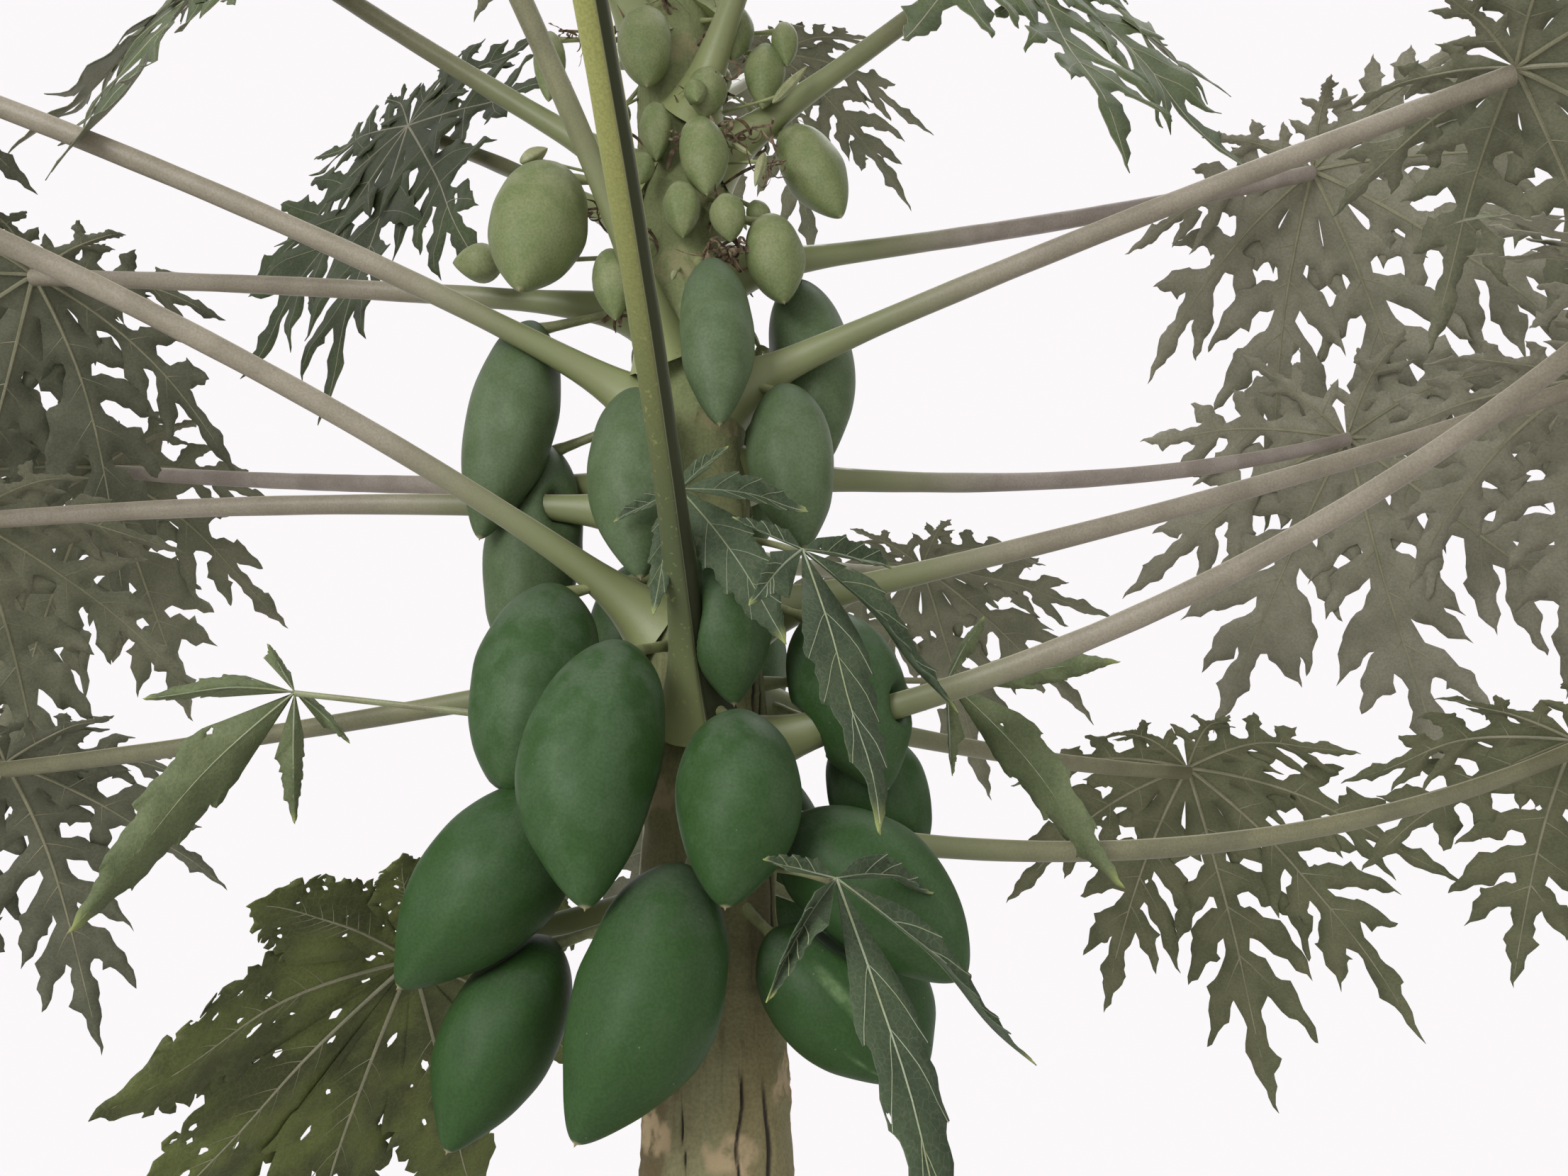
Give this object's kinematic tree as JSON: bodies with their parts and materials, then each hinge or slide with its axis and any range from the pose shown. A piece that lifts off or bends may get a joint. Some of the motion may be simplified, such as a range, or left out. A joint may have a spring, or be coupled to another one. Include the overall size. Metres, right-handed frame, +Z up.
{
  "type": "papaya tree",
  "caption": "Papaya tree: a single leaning stem with a column of hanging green fruit under a crown of long-stalked, deeply lobed leaves.",
  "frame": {"origin": "centre of the stem's flat cut at ground level", "axes": "+Z up the stem; -Y towards the side that the picture shows; -X towards the side the stem leans to"},
  "size_m": [2.8842, 2.6166, 3.5572],
  "materials": {
    "bark": "matte pale tan bark with leaf scars and thin cracks, greener towards the crown",
    "leaf": "matte grey-olive green blades with pale ribs on pale olive stalks",
    "yellowing_leaf": "matte old leaf, yellow-green with insect holes",
    "shoot": "matte young leaves with pale veins",
    "fruit": "smooth waxy dark green skin with fine pale specks",
    "young_fruit": "smooth waxy light green skin"
  },
  "bodies": {
    "root": {"fruit_01": "fruit", "fruit_02": "fruit", "fruit_03": "fruit", "fruit_04": "fruit", "fruit_05": "fruit", "fruit_06": "fruit", "fruit_07": "fruit", "fruit_08": "fruit", "fruit_09": "fruit", "fruit_10": "fruit", "fruit_11": "fruit", "fruit_12": "fruit", "fruit_13": "fruit", "fruit_14": "young_fruit", "fruit_15": "young_fruit", "fruit_16": "young_fruit", "fruit_17": "young_fruit", "fruit_18": "young_fruit", "fruit_19": "fruit", "fruit_20": "fruit", "fruit_21": "fruit", "fruit_22": "fruit", "fruit_23": "fruit", "fruit_24": "fruit", "fruit_25": "fruit", "fruit_26": "fruit", "fruit_27": "fruit", "fruit_28": "fruit", "leaf_01": "yellowing_leaf", "leaf_02": "leaf", "leaf_03": "leaf", "leaf_04": "leaf", "leaf_05": "leaf", "leaf_06": "leaf", "leaf_07": "leaf", "leaf_08": "leaf", "leaf_09": "leaf", "leaf_10": "leaf", "leaf_11": "leaf", "leaf_12": "leaf", "leaf_13": "leaf", "leaf_14": "leaf", "leaf_15": "leaf", "leaf_16": "leaf", "leaf_17": "leaf", "leaf_18": "leaf", "leaf_19": "leaf", "leaf_20": "leaf", "leaf_21": "leaf", "leaf_22": "leaf", "leaf_23": "leaf", "leaf_24": "leaf", "leaf_25": "leaf", "leaf_26": "leaf", "shoot_01": "shoot", "shoot_02": "shoot", "shoot_03": "shoot", "shoot_04": "shoot", "stem": "bark", "tip_tuft": "leaf"}
  },
  "joints": []
}
